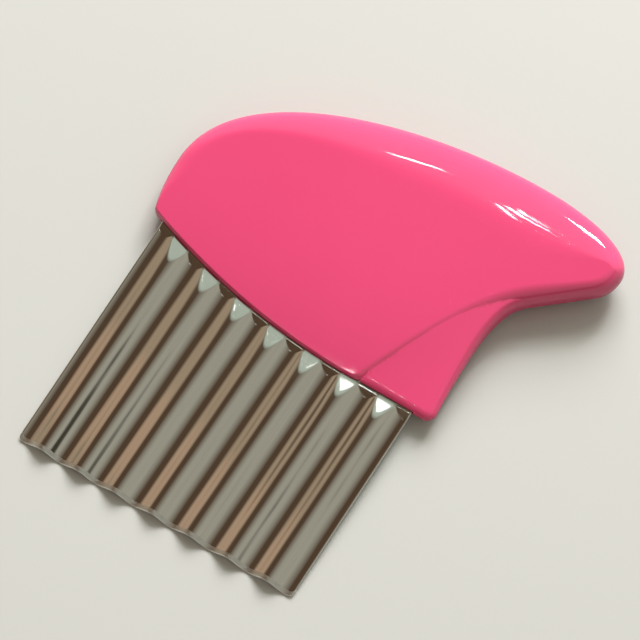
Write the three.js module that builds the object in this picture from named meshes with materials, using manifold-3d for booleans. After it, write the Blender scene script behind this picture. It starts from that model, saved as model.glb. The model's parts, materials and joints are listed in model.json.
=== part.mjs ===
// A hand-held crinkle cutter: a corrugated blade held in a handle moulded as two shells.
// Millimetres. The pieces are drawn in the plane of the blade, with X along the cutting edge from its
// left corner and Y from the edge to the grip, and are then laid down as the tool rests on a table.

import * as THREE from 'three';
import { mergeVertices } from 'three/addons/utils/BufferGeometryUtils.js';
import Module from 'manifold-3d';

const wasm = await Module();
wasm.setup();

// Blade sheet and its waves
const sheetThickness = 0.6;
const waveCount = 7;
const wavePitch = 10;
const flankDegrees = 27;
const bendRadius = 3.3;
const sideMargin = 1.5;
const bladeHeight = 52;
const bladeCornerRadius = 1.2;

// Ground cutting edge
const bevelWidth = 1.1;
const edgeThickness = 0.12;

// Pressed ends of the waves below the handle's lip
const runoutLength = 4.6;
const runoutToLip = 1.3;

// Flat tang inside the handle
const tangDepth = 28;
const tangCornerRadius = 4;

// Lip of the handle along the blade
const lipRise = 10.9;
const lipFlat = 21.5;
const leftOverhang = 2.75;
const neckOverhang = 5.1;
const lipHalfThickness = 1.6;

// Grip and fin seen from the front
const endBulge = 2.2;
const endBulgeHeight = 14.2;
const endCornerLead = 5.65;
const peakInset = 2.1;
const backRise = 9.9;
const finReach = 23.9;
const finUnderDegrees = 40.5;
const noseRun = 3.2;
const noseRise = 4.1;
const throatReach = 8.9;
const throatHeight = 35.7;
const creaseFootInset = 2.4;
const creaseDegrees = 62;

// Section of the grip: flat sloping faces with rolled edges
const faceSlopeDegrees = 4.3;
const lipRoll = 0.9;
const endRoll = 4;
const backRoll = 12;
const tipRoll = 3.2;
const underRoll = 2.5;
const creaseFootRoll = 0.8;

// Thin neck below the fin
const neckHalfThickness = 1.35;
const neckSlopeDegrees = 3;
const neckRoll = 1.6;
const neckCornerRadius = 2.3;
const neckWaist = 0.65;
const neckWaistHeight = 19;
const neckOverlap = 3.5;

// Inside of the shells
const wall = 1.6;
const landWidth = 6;
const ribThickness = 1.4;
const seamGap = 0.3;
const fitClearance = 0.3;

// Pegs of the front shell, which pass through the tang into the rear shell
const pegCount = 3;
const pegSpacing = 24;
const pegHeight = 20;
const pegRadius = 2.2;
const pegReach = 1.5;
const pegLead = 0.4;
const bossWall = 1.8;

// Fullness of the long curves, as the part of a span that a curve's lead takes up
const tipFullness = 0.647;
const overTipFullness = 0.56;
const overBackFullness = 0.418;
const endFullness = 0.674;
const creaseFullness = 0.3;

// Facets of the curved surfaces
const bendSteps = 3;
const rollSteps = 6;
const roundSides = 24;
const lipSteps = 16;
const creaseSteps = 14;
const noseSteps = 8;
const tipSteps = 16;
const backSteps = 34;
const endSteps = 3;
const neckSteps = 5;
const leastFacet = 0.1;

// Finishes
const steel = { color: '#b4b3ac', roughness: 0.12, metalness: 1 };
const pinkPlastic = { color: '#f0437a', roughness: 0.18, metalness: 0 };

const radians = THREE.MathUtils.degToRad;
const flank = radians(flankDegrees);
const faceSlope = Math.tan(radians(faceSlopeDegrees));
const neckSlope = Math.tan(radians(neckSlopeDegrees));
const bendReach = bendRadius * Math.sin(flank);
const bendRise = bendRadius * (1 - Math.cos(flank));
const wavePeak = bendRise + (wavePitch / 4 - bendReach) * Math.tan(flank);
const bladeWidth = waveCount * wavePitch + 2 * sideMargin;
const tangTop = bladeHeight + tangDepth;
const seam = seamGap / 2;
const farAway = 4 * (bladeWidth + bladeHeight);

function point(x, y) {
  return new THREE.Vector2(x, y);
}

// A point part of the way along a quadratic or cubic curve with these control points
function bezier(...controls) {
  const Curve = controls.length === 3 ? THREE.QuadraticBezierCurve : THREE.CubicBezierCurve;
  const curve = new Curve(...controls);
  return (t) => curve.getPoint(t);
}

function line(from, to) {
  return (t) => from.clone().lerp(to, t);
}

function arc(centre, radius, from, to) {
  const curve = new THREE.EllipseCurve(centre.x, centre.y, radius, radius, from, to);
  return (t) => curve.getPoint(t);
}

// Solids for cutting and joining, and back
function solidOf(geometry) {
  const bare = geometry.clone();
  bare.deleteAttribute('normal');
  bare.deleteAttribute('uv');
  const merged = mergeVertices(bare, 1e-4);
  const vertProperties = new Float32Array(merged.attributes.position.array);
  const triVerts = new Uint32Array(merged.index.array);
  return new wasm.Manifold(new wasm.Mesh({ numProp: 3, vertProperties, triVerts }));
}

function geometryOf(solid) {
  const mesh = solid.getMesh();
  const geometry = new THREE.BufferGeometry();
  geometry.setAttribute('position', new THREE.BufferAttribute(new Float32Array(mesh.vertProperties), 3));
  geometry.setIndex(new THREE.BufferAttribute(new Uint32Array(mesh.triVerts), 1));
  return geometry;
}

function indexed(positions, index) {
  const geometry = new THREE.BufferGeometry();
  geometry.setAttribute('position', new THREE.Float32BufferAttribute(positions, 3));
  geometry.setIndex(index);
  return geometry;
}

// Mirror image on the other side of the blade's plane
function acrossBlade(geometry) {
  const flipped = geometry.clone().scale(1, 1, -1);
  const corners = flipped.index.array;
  for (let i = 0; i < corners.length; i += 3) {
    [corners[i], corners[i + 1]] = [corners[i + 1], corners[i]];
  }
  return flipped;
}

// Round bar across the blade's plane, from one height to another
function bar(centre, radius, from, to) {
  const cylinder = new THREE.CylinderGeometry(radius, radius, to - from, roundSides);
  cylinder.rotateX(Math.PI / 2);
  cylinder.translate(centre.x, centre.y, (from + to) / 2);
  return solidOf(cylinder);
}

function block(min, max) {
  const size = max.clone().sub(min);
  const box = new THREE.BoxGeometry(size.x, size.y, size.z);
  const middle = min.clone().add(max).multiplyScalar(0.5);
  box.translate(middle.x, middle.y, middle.z);
  return solidOf(box);
}

// Height of the handle's lip above the cutting edge: straight by the neck, then a rising curve
const lipCurveStart = bladeWidth + neckOverhang - lipFlat;

function lipAt(x) {
  const along = Math.max(0, lipCurveStart - x) / (lipCurveStart + leftOverhang);
  return bladeHeight + lipRise * along ** 2;
}

function alongLip(fromX, toX) {
  return (t) => {
    const x = THREE.MathUtils.lerp(fromX, toX, t);
    return point(x, lipAt(x));
  };
}

// Middle of the corrugated sheet: round bends joined by straight flanks, a valley at each side
function waveAt(x) {
  const bend = Math.round((x - sideMargin) / (wavePitch / 2));
  const side = bend % 2 === 0 ? -1 : 1;
  const away = Math.abs(x - sideMargin - (bend * wavePitch) / 2);
  if (away <= bendReach) {
    return side * (wavePeak - bendRadius + Math.sqrt(bendRadius ** 2 - away ** 2));
  }
  return side * (wavePeak - bendRise - (away - bendReach) * Math.tan(flank));
}

function waveColumns() {
  const columns = [0, bladeCornerRadius / 3, bladeWidth - bladeCornerRadius / 3, bladeWidth];
  for (let bend = 0; bend <= 2 * waveCount; bend += 1) {
    const centre = sideMargin + (bend * wavePitch) / 2;
    for (let step = -bendSteps; step <= bendSteps; step += 1) {
      columns.push(centre + bendRadius * Math.sin((flank * step) / bendSteps));
    }
  }
  const inside = columns.filter((x) => x >= 0 && x <= bladeWidth).sort((a, b) => a - b);
  return inside.filter((x, i) => i === 0 || x === bladeWidth || x - inside[i - 1] > leastFacet);
}

// How far a rounded corner falls short of its edge, this far from the side
function cornerCut(fromSide, radius) {
  const into = Math.max(0, radius - fromSide);
  return radius - Math.sqrt(radius ** 2 - into ** 2);
}

// Pressed blade: waves that end in flat sloping facets, a ground edge, and the flat tang above
function bladeGeometry() {
  const columns = waveColumns();
  const lastColumn = columns.length - 1;
  const thickness = [edgeThickness, sheetThickness, sheetThickness, sheetThickness, sheetThickness];
  const lastRow = thickness.length - 1;
  const wide = columns.length;
  const middle = new THREE.PlaneGeometry(1, 1, lastColumn, lastRow);
  columns.forEach((x, column) => {
    const fromSide = Math.min(x, bladeWidth - x);
    const height = waveAt(x);
    const edge = cornerCut(fromSide, bladeCornerRadius);
    const runoutEnd = lipAt(x) - runoutToLip;
    const facet = Math.max((Math.abs(height) / wavePeak) * runoutLength, leastFacet);
    const top = tangTop - cornerCut(fromSide, tangCornerRadius);
    const rows = [
      [edge, height],
      [edge + bevelWidth, height],
      [runoutEnd - facet, height],
      [runoutEnd, 0],
      [top, 0],
    ];
    rows.forEach(([y, z], row) => {
      middle.attributes.position.setXYZ((lastRow - row) * wide + column, x, y, z);
    });
  });
  middle.computeVertexNormals();

  const places = middle.attributes.position;
  const normals = middle.attributes.normal;
  const positions = [];
  for (const side of [1, -1]) {
    for (let i = 0; i < places.count; i += 1) {
      const row = lastRow - Math.floor(i / wide);
      const offset = (side * thickness[row]) / 2;
      positions.push(
        places.getX(i) + normals.getX(i) * offset,
        places.getY(i) + normals.getY(i) * offset,
        places.getZ(i) + normals.getZ(i) * offset,
      );
    }
  }

  const front = Array.from(middle.index.array);
  const index = [...front];
  for (let i = 0; i < front.length; i += 3) {
    index.push(front[i] + places.count, front[i + 2] + places.count, front[i + 1] + places.count);
  }
  const rim = [];
  for (let c = 0; c < lastColumn; c += 1) rim.push(lastRow * wide + c);
  for (let r = lastRow; r > 0; r -= 1) rim.push(r * wide + lastColumn);
  for (let c = lastColumn; c > 0; c -= 1) rim.push(c);
  for (let r = 0; r < lastRow; r += 1) rim.push(r * wide);
  rim.forEach((a, i) => {
    const b = rim[(i + 1) % rim.length];
    index.push(a, a + places.count, b, b, a + places.count, b + places.count);
  });
  return indexed(positions, index);
}

// Outlines: stretches of curve, each with the roll of the edge at its two ends
const under = radians(finUnderDegrees);
const crease = radians(creaseDegrees);
const lipCorner = point(-leftOverhang, lipAt(-leftOverhang));
const lipBend = point(lipCurveStart, bladeHeight);
const creaseFoot = point(lipCurveStart + creaseFootInset, bladeHeight);
const throat = point(bladeWidth + throatReach, bladeHeight + throatHeight);
const tipX = bladeWidth + finReach;

function underFin(x) {
  return point(x, throat.y + (x - throat.x) * Math.tan(under));
}

const noseStart = underFin(tipX - noseRun);
const noseCorner = underFin(tipX);
const tip = point(tipX, noseCorner.y + noseRise);
const peak = point(bladeWidth - peakInset, tip.y + backRise);
const endMost = point(lipCorner.x - endBulge, lipCorner.y + endBulgeHeight);

function creaseCurve() {
  const reach = throat.distanceTo(creaseFoot) * creaseFullness;
  const footLead = point(Math.cos(crease), Math.sin(crease)).multiplyScalar(reach);
  const throatLead = point(Math.cos(under), Math.sin(under)).multiplyScalar(-reach);
  return bezier(creaseFoot, creaseFoot.clone().add(footLead), throat.clone().add(throatLead), throat);
}

function gripStretches() {
  const { lerp } = THREE.MathUtils;
  const overTip = bezier(
    tip,
    point(tip.x, lerp(tip.y, peak.y, tipFullness)),
    point(lerp(peak.x, tip.x, overTipFullness), peak.y),
    peak,
  );
  const overBack = bezier(
    peak,
    point(lerp(peak.x, endMost.x, overBackFullness), peak.y),
    point(endMost.x, lerp(endMost.y, peak.y, endFullness)),
    endMost,
  );
  const roundEnd = bezier(endMost, point(endMost.x, lipCorner.y + endCornerLead), lipCorner);
  return [
    { at: alongLip(lipCorner.x, lipBend.x), steps: lipSteps, rolls: [lipRoll, lipRoll] },
    { at: line(lipBend, creaseFoot), steps: 1, rolls: [lipRoll, creaseFootRoll] },
    { at: creaseCurve(), steps: creaseSteps, rolls: [creaseFootRoll, underRoll] },
    { at: line(throat, noseStart), steps: 1, rolls: [underRoll, underRoll] },
    { at: bezier(noseStart, noseCorner, tip), steps: noseSteps, rolls: [underRoll, tipRoll] },
    { at: overTip, steps: tipSteps, rolls: [tipRoll, backRoll] },
    { at: overBack, steps: backSteps, rolls: [backRoll, endRoll] },
    { at: roundEnd, steps: endSteps, rolls: [endRoll, lipRoll] },
  ];
}

function neckStretches() {
  const sideX = bladeWidth + neckOverhang;
  const lipStart = point(creaseFoot.x - neckOverlap, bladeHeight);
  const lipEnd = point(sideX - neckCornerRadius, bladeHeight);
  const cornerMiddle = point(lipEnd.x, bladeHeight + neckCornerRadius);
  const sideFoot = point(sideX, cornerMiddle.y);
  const waist = point(sideX - neckWaist, bladeHeight + neckWaistHeight);
  const insideTop = throat.clone().add(point(-neckOverlap, neckOverlap));
  const creasePath = creaseCurve();
  const rolls = [neckRoll, neckRoll];
  return [
    { at: line(lipStart, lipEnd), steps: 1, rolls },
    { at: arc(cornerMiddle, neckCornerRadius, -Math.PI / 2, 0), steps: neckSteps, rolls },
    { at: bezier(sideFoot, point(waist.x, waist.y - neckWaistHeight / 2), waist), steps: neckSteps, rolls },
    { at: bezier(waist, underFin(waist.x), throat), steps: 2 * neckSteps, rolls },
    { at: line(throat, insideTop), steps: 1, rolls },
    { at: (t) => creasePath(1 - t).add(point(-neckOverlap, neckOverlap * (1 - t))), steps: neckSteps, rolls },
  ];
}

// Points round an outline, each with its own roll and the direction in which an offset moves it
function outlinePoints(stretches) {
  const points = stretches.flatMap(({ at, steps, rolls }) =>
    Array.from({ length: steps }, (_, i) => {
      const blend = THREE.MathUtils.smoothstep(i / steps, 0, 1);
      return { place: at(i / steps), roll: THREE.MathUtils.lerp(rolls[0], rolls[1], blend) };
    }),
  );
  return points.map(({ place, roll }, i) => {
    const before = points.at(i - 1).place;
    const after = points[(i + 1) % points.length].place;
    const arrive = place.clone().sub(before).normalize();
    const leave = after.clone().sub(place).normalize();
    const inward = point(-arrive.y - leave.y, arrive.x + leave.x);
    return { place, roll, inward: inward.multiplyScalar(2 / inward.lengthSq()) };
  });
}

// Loft with a rolled edge: rings move in and up round a quarter ellipse to a flat top face
function rolledSolid(points, inset, leastRoll, heightAt) {
  const rings = [];
  for (let step = 0; step <= rollSteps; step += 1) {
    const turn = (step / rollSteps) * (Math.PI / 2);
    rings.push(points.map(({ place, roll, inward }) => {
      const edgeRoll = Math.max(roll - inset, leastRoll);
      const spot = place.clone().addScaledVector(inward, inset + edgeRoll * (1 - Math.cos(turn)));
      return [spot.x, spot.y, seam + (heightAt(spot) - seam) * Math.sin(turn)];
    }));
  }
  const count = points.length;
  const positions = rings.flat(2);
  const index = [];
  for (let ring = 0; ring < rollSteps; ring += 1) {
    for (let i = 0; i < count; i += 1) {
      const a = ring * count + i;
      const b = ring * count + ((i + 1) % count);
      index.push(a, b, b + count, a, b + count, a + count);
    }
  }
  const capOf = (ring) => THREE.ShapeUtils.triangulateShape(ring.map(([x, y]) => point(x, y)), []);
  capOf(rings[0]).forEach(([a, b, c]) => index.push(a, c, b));
  const last = rollSteps * count;
  capOf(rings[rollSteps]).forEach(([a, b, c]) => index.push(last + a, last + b, last + c));
  return solidOf(indexed(positions, index));
}

function gripHeight(place) {
  return lipHalfThickness + (place.y - bladeHeight) * faceSlope;
}

function neckHeight(place) {
  return neckHalfThickness + (place.y - bladeHeight) * neckSlope;
}

function pegPlaces() {
  return Array.from({ length: pegCount }, (_, i) =>
    point(bladeWidth / 2 + (i - (pegCount - 1) / 2) * pegSpacing, bladeHeight + pegHeight));
}

// Solid strip behind the lip, between which the shells hold the blade
function lipLand() {
  const strip = new THREE.Shape();
  strip.moveTo(-farAway, -farAway);
  strip.lineTo(farAway, -farAway);
  strip.lineTo(farAway, bladeHeight + landWidth);
  for (let i = 0; i <= roundSides; i += 1) {
    const x = THREE.MathUtils.lerp(lipCurveStart, lipCorner.x - endBulge, i / roundSides);
    strip.lineTo(x, lipAt(x) + landWidth);
  }
  strip.lineTo(-farAway, lipAt(lipCorner.x - endBulge) + landWidth);
  const slab = new THREE.ExtrudeGeometry(strip, { depth: 2 * farAway, bevelEnabled: false });
  slab.translate(0, 0, -farAway);
  return solidOf(slab);
}

// Ribs across the grip at the pegs, and one along the top edge of the tang
function ribs() {
  const half = ribThickness / 2;
  const stopY = tangTop + fitClearance;
  const across = pegPlaces().map(({ x }) => block(
    new THREE.Vector3(x - half, -farAway, -farAway),
    new THREE.Vector3(x + half, farAway, farAway),
  ));
  const along = block(
    new THREE.Vector3(-farAway, stopY, -farAway),
    new THREE.Vector3(farAway, stopY + ribThickness, farAway),
  );
  return [...across, along];
}

// One moulded half, drawn on the front side: rolled grip and thin neck, hollow behind the lip
function shellHalf() {
  const grip = outlinePoints(gripStretches());
  const neck = outlinePoints(neckStretches());
  const outside = rolledSolid(grip, 0, 0, gripHeight).add(rolledSolid(neck, 0, 0, neckHeight));
  const bosses = pegPlaces().map((place) => bar(place, pegRadius + bossWall, -farAway, farAway));
  const roof = (place) => Math.max(gripHeight(place) - wall, sheetThickness + fitClearance);
  const kept = [lipLand(), ...ribs(), ...bosses];
  const hollow = kept.reduce((left, piece) => left.subtract(piece), rolledSolid(grip, wall, lipRoll, roof));
  const tangSlot = block(
    new THREE.Vector3(-fitClearance, 0, -farAway),
    new THREE.Vector3(bladeWidth + fitClearance, tangTop + fitClearance, sheetThickness / 2 + fitClearance),
  );
  return outside.subtract(hollow).subtract(tangSlot);
}

// Peg with a chamfered lead at its free end
function peg(place) {
  const root = sheetThickness / 2 + fitClearance + seamGap;
  const profile = [
    point(0, -pegReach),
    point(pegRadius - pegLead, -pegReach),
    point(pegRadius, pegLead - pegReach),
    point(pegRadius, root),
    point(0, root),
  ];
  const turned = new THREE.LatheGeometry(profile, roundSides);
  turned.rotateX(Math.PI / 2);
  turned.translate(place.x, place.y, 0);
  return solidOf(turned);
}

function namedMesh(name, geometry, finish) {
  const mesh = new THREE.Mesh(geometry, new THREE.MeshStandardMaterial(finish));
  mesh.name = name;
  return mesh;
}

function makeBlade() {
  const hole = (place) => bar(place, pegRadius + fitClearance, -farAway, farAway);
  const drilled = pegPlaces().reduce((left, place) => left.subtract(hole(place)), solidOf(bladeGeometry()));
  return namedMesh('blade', geometryOf(drilled), steel);
}

function makeFrontShell(half) {
  const pegged = pegPlaces().reduce((left, place) => left.add(peg(place)), half);
  return namedMesh('handle_front_shell', geometryOf(pegged), pinkPlastic);
}

function makeRearShell(half) {
  const socketEnd = -pegReach - fitClearance;
  const socket = (place) => bar(place, pegRadius + fitClearance, socketEnd, seamGap);
  const mirrored = solidOf(acrossBlade(geometryOf(half)));
  const socketed = pegPlaces().reduce((left, place) => left.subtract(socket(place)), mirrored);
  return namedMesh('handle_rear_shell', geometryOf(socketed), pinkPlastic);
}

// The angle at which the tool lies on its cutting edge and on the back of its grip
function restingTilt(rearShell) {
  const places = rearShell.geometry.attributes.position;
  const valley = wavePeak + sheetThickness / 2;
  let steepest = 0;
  for (let i = 0; i < places.count; i += 1) {
    steepest = Math.max(steepest, (-places.getZ(i) - valley) / (places.getY(i) - bevelWidth));
  }
  return Math.atan(steepest);
}

const half = shellHalf();
const rearShell = makeRearShell(half);
const tool = new THREE.Group();
tool.add(makeBlade(), makeFrontShell(half), rearShell);
tool.rotation.x = restingTilt(rearShell);

// The origin is the middle of the tool's footprint, on the table
const crinkleCutter = new THREE.Group();
crinkleCutter.add(tool);
const box = new THREE.Box3().setFromObject(crinkleCutter, true);
const middle = box.getCenter(new THREE.Vector3());
tool.position.set(-middle.x, -middle.y, -box.min.z);

export default crinkleCutter;
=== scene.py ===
import json
import math

import bmesh
import bpy
from bpy.props import FloatProperty, FloatVectorProperty, IntProperty, PointerProperty
from mathutils import Matrix, Vector


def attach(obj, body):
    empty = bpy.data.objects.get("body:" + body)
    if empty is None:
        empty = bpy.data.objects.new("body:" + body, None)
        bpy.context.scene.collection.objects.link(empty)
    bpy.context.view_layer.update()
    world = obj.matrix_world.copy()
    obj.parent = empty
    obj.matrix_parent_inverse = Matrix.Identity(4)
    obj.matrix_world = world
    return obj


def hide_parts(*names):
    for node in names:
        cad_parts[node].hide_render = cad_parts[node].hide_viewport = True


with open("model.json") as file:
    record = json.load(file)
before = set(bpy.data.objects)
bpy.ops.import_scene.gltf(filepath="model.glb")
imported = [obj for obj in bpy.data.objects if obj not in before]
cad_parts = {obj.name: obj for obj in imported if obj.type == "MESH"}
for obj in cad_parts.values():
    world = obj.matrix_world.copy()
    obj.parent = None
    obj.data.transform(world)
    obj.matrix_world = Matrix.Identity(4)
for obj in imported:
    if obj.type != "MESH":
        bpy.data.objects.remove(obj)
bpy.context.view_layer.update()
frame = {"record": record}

bl_info = {
    "name": "Crinkle cutter",
    "version": (1, 0, 0),
    "blender": (4, 5, 0),
    "location": "3D View > Sidebar > Crinkle cutter",
    "description": "Corrugated steel blade held in a handle moulded as two shells",
    "category": "Add Mesh",
}

BODY = "root"
MM = 0.001

# Facets of the fine surfaces
WAVE_STEPS = 48
BEVEL_STEPS = 3
BODY_STEPS = 8
CREASE_STEPS = 6
FACET_STEPS = 4
TANG_STEPS = 6
ROLL_STEPS = 16
ROUND_SIDES = 48


def linear(code):
    """Linear colour of an sRGB hex code."""
    shares = [int(code[i:i + 2], 16) / 255 for i in (0, 2, 4)]
    return [s / 12.92 if s <= 0.04045 else ((s + 0.055) / 1.055) ** 2.4 for s in shares]


def length(name, millimetres, description):
    """Length setting, written in millimetres."""
    return FloatProperty(
        name=name, description=description, default=millimetres * MM, unit="LENGTH", precision=5
    )


def angle(name, degrees, description):
    """Angle setting, written in degrees."""
    return FloatProperty(
        name=name, description=description, default=math.radians(degrees), subtype="ANGLE"
    )


def share(name, value, description):
    """Setting without a unit."""
    return FloatProperty(name=name, description=description, default=value, subtype="FACTOR")


def colour(name, code, description):
    """Colour setting, written as an sRGB hex code."""
    return FloatVectorProperty(
        name=name, description=description, default=linear(code), size=3, subtype="COLOR"
    )


class CutterBlade(bpy.types.PropertyGroup):
    """Sizes and finish of the corrugated blade"""

    thickness: length("Sheet thickness", 0.6, "Thickness of the steel sheet")
    waves: IntProperty(name="Waves", description="Full waves across the blade", default=7, min=1)
    pitch: length("Wave pitch", 10, "Distance from one crest to the next")
    depth: length("Wave depth", 1.7, "From valley to crest of the sheet's middle")
    sharpness: share("Crest sharpness", 0.06, "How much tighter the crests are bent than the valleys")
    lean: length("Wave lean", 0.8, "How far the middle waves run off to the left at the edge")
    margin: length("Side margin", 1.5, "Sheet outside the first and last valley")
    height: length("Blade height", 52, "From the cutting edge to the lip by the neck")
    corner: length("Edge corner radius", 1.2, "Radius of the corners at the cutting edge")
    bevel: length("Bevel width", 1.1, "Width of the ground band at the cutting edge")
    edge: length("Edge thickness", 0.12, "Thickness left at the cutting edge")
    runout: length("Crest run-out", 4.6, "Length of the pressed facet that ends a crest")
    valley_runout: length("Valley run-out", 1.5, "Length of the pressed facet that ends a valley")
    clear: length("Run-out to lip", 0.5, "Flat sheet between the facets and the lip")
    tang: length("Tang depth", 28, "Flat sheet held inside the handle")
    tang_corner: length("Tang corner radius", 4, "Radius of the tang's top corners")
    steel: colour("Polished steel", "cbc9c2", "Colour of the mirror-polished sheet")
    ground: colour("Ground steel", "dcdcd6", "Colour of the ground bevel")


class CutterHandle(bpy.types.PropertyGroup):
    """Sizes and finish of the two moulded shells"""

    lip_rise: length("Lip rise", 10.9, "How far the lip curves up towards the rounded end")
    lip_flat: length("Straight lip", 21.5, "Straight part of the lip by the neck")
    overhang: length("End overhang", 2.75, "Lip beyond the blade at the rounded end")
    neck_overhang: length("Neck overhang", 5.1, "Neck beyond the blade's other side")
    lip_half: length("Lip half thickness", 1.6, "Half the handle's thickness at the lip")
    bulge: length("End bulge", 2.2, "How far the rounded end stands out past the lip")
    bulge_height: length("End bulge height", 14.2, "Height of the widest place above the lip")
    end_lead: length("End corner lead", 5.65, "Lead of the curve into the lip's corner")
    peak_inset: length("Peak inset", 2.1, "Highest place of the back, in from the blade's side")
    back_rise: length("Back rise", 9.9, "Height of the back above the fin's tip")
    fin_reach: length("Fin reach", 23.9, "Fin beyond the blade's side")
    fin_under: angle("Fin underside", 40.5, "Slope of the fin's underside")
    nose_run: length("Nose run", 3.2, "Length of the round nose along the underside")
    nose_rise: length("Nose rise", 4.1, "Height of the round nose")
    throat_reach: length("Throat reach", 8.9, "Throat beyond the blade's side")
    throat_height: length("Throat height", 35.7, "Throat above the straight lip")
    crease_inset: length("Crease foot inset", 2.4, "Foot of the crease from the lip's bend")
    crease_angle: angle("Crease angle", 62, "Direction in which the crease leaves the lip")
    face_slope: angle("Face slope", 9.8, "Slope of each face to the blade's plane, at the lip")
    face_far: angle("Far face slope", 2.2, "Slope of each face at the back")
    face_ease: length("Face ease", 14, "Height that takes up most of the change of slope")
    face_dome: length("Face dome", 900, "Radius of each face along the lip")
    lip_roll: length("Lip roll", 0.45, "Rolled edge along the lip")
    end_roll: length("End roll", 4, "Rolled edge at the rounded end")
    back_roll: length("Back roll", 16, "Rolled edge along the back")
    tip_roll: length("Tip roll", 3.2, "Rolled edge at the fin's tip")
    under_roll: length("Underside roll", 4, "Rolled edge along the fin's underside")
    foot_roll: length("Crease foot roll", 2.2, "Rolled edge at the foot of the crease")
    neck_half: length("Neck half thickness", 1.2, "Half the thickness of the neck at the lip")
    neck_slope: angle("Neck slope", 3.4, "Slope of each face of the neck to the blade's plane, at its side")
    neck_twist: length("Neck twist", 250, "Distance in from its side over which its slope grows by 1 in 1")
    neck_roll: length("Neck roll", 2, "Rolled edge along the neck")
    neck_corner: length("Neck corner radius", 2.3, "Corner of the neck at the lip")
    waist: length("Neck waist", 0.65, "How far the neck's side draws in")
    waist_height: length("Neck waist height", 19, "Height of the neck's waist")
    overlap: length("Neck overlap", 3.5, "How far the neck runs under the grip")
    wall: length("Wall", 1.6, "Wall of the moulded shells")
    land: length("Lip land", 6, "Solid strip behind the lip that clamps the blade")
    rib: length("Rib thickness", 1.4, "Thickness of the ribs inside")
    seam: length("Seam gap", 0.12, "Gap between the shells")
    clearance: length("Fit clearance", 0.3, "Room round the tang and the pegs")
    pegs: IntProperty(name="Pegs", description="Pegs through the tang", default=3, min=1)
    peg_spacing: length("Peg spacing", 24, "Distance between pegs")
    peg_height: length("Peg height", 20, "Pegs above the straight lip")
    peg_radius: length("Peg radius", 2.2, "Radius of a peg")
    peg_reach: length("Peg reach", 1.5, "Peg below the blade's plane")
    boss_wall: length("Boss wall", 1.8, "Wall of the boss round a peg")
    tip_full: share("Tip fullness", 0.647, "Fullness of the curve that leaves the tip")
    over_tip_full: share("Over-tip fullness", 0.56, "Fullness of that curve at the peak")
    back_full: share("Back fullness", 0.418, "Fullness of the back beside the peak")
    end_full: share("End fullness", 0.674, "Fullness of the back at the rounded end")
    crease_full: share("Crease fullness", 0.3, "Fullness of the crease at its ends")
    pink: colour("Pink", "f35283", "Colour of the moulded plastic")
    pink_deep: colour("Deep pink", "ee4e7e", "Slightly deeper tone where the plastic flowed")


class CutterStage(bpy.types.PropertyGroup):
    """Floor, light and camera"""

    floor: colour("Floor", "d4d3cf", "Colour of the pale floor")
    floor_bounce: colour("Floor bounce", "3a3a3a", "Colour that the floor throws back on the object")
    room: colour("Room overhead", "64503f", "Dim warm tone straight overhead")
    room_right: colour("Room right", "bfbdb0", "Pale wall on the fin's side")
    room_left: colour("Room left", "bfa991", "Warm wall on the other side")
    room_gap: colour("Room gaps", "4a453c", "Dark gaps low down beside both walls")
    card: colour("Warm card", "ffb38e", "Warm card low down on the left, near the blade")
    room_back: colour("Room back", "d3e0d4", "Bright wall behind the grip")
    horizon: colour("Horizon", "dedcd6", "Pale band at eye level")
    azimuth: angle("Camera azimuth", 31.7, "Direction of the camera round the blade's normal")
    elevation: angle("Camera elevation", 69.07, "Height of the camera above the blade's plane")
    distance: length("Camera distance", 2500, "From the camera to the middle of the picture")
    span: length("Picture width", 145.885, "Width that the picture takes in at the object")
    aim: FloatVectorProperty(
        name="Aim", description="Middle of the picture on the blade's plane, from the edge's left corner",
        size=2, default=(43.37 * MM, 60.35 * MM), unit="LENGTH",
    )


GROUPS = {"cutter_blade": CutterBlade, "cutter_handle": CutterHandle, "cutter_stage": CutterStage}

# Place on the blade's plane, from the edge's left corner, half way between the mounts on the two faces
FACE_MIDDLE = Vector((41.5, 82, 0)) * MM


def blade_plane():
    """Matrix from the blade's own plane, with its left edge corner at the origin, to the frame."""
    mounts = {m["name"]: m for m in frame["record"]["mounts"]}
    front, rear = mounts["grip_face_front"], mounts["grip_face_rear"]
    up = (Vector(front["axis"]) - Vector(rear["axis"])).normalized()
    along = Vector((1, 0, 0))
    turn = Matrix((along, up.cross(along), up)).transposed().to_4x4()
    middle = (Vector(front["pos_m"]) + Vector(rear["pos_m"])) / 2
    return Matrix.Translation(middle) @ turn @ Matrix.Translation(-FACE_MIDDLE)


def blade_width(blade):
    """Width of the sheet along the cutting edge."""
    return blade.waves * blade.pitch + 2 * blade.margin


def on_curve(controls, t):
    """Point part of the way along a curve with these control points."""
    while len(controls) > 1:
        controls = [a.lerp(b, t) for a, b in zip(controls, controls[1:])]
    return controls[0]


def ease(t):
    """Smooth step from 0 to 1."""
    return t * t * (3 - 2 * t)


def lip_bend(blade, handle):
    """Where the straight lip by the neck turns into the rising curve."""
    return blade_width(blade) + handle.neck_overhang - handle.lip_flat


def lip_height(x, blade, handle):
    """Height of the lip above the cutting edge: straight by the neck, then a rising curve."""
    bend = lip_bend(blade, handle)
    rising = max(0, bend - x) / (bend + handle.overhang)
    return blade.height + handle.lip_rise * rising ** 2


def add_node(tree, kind, sockets=(), **settings):
    """Adds a node with its settings, and fills its sockets with values or links."""
    made = tree.nodes.new(kind)
    for key, value in settings.items():
        setattr(made, key, value)
    for key, value in dict(sockets).items():
        if isinstance(value, bpy.types.NodeSocket):
            tree.links.new(value, made.inputs[key])
        else:
            made.inputs[key].default_value = value
    return made


def new_material(name):
    """Empty node material and its output node."""
    made = bpy.data.materials.new(name)
    made.use_nodes = True
    made.node_tree.nodes.clear()
    return made, made.node_tree, made.node_tree.nodes.new("ShaderNodeOutputMaterial")


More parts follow.
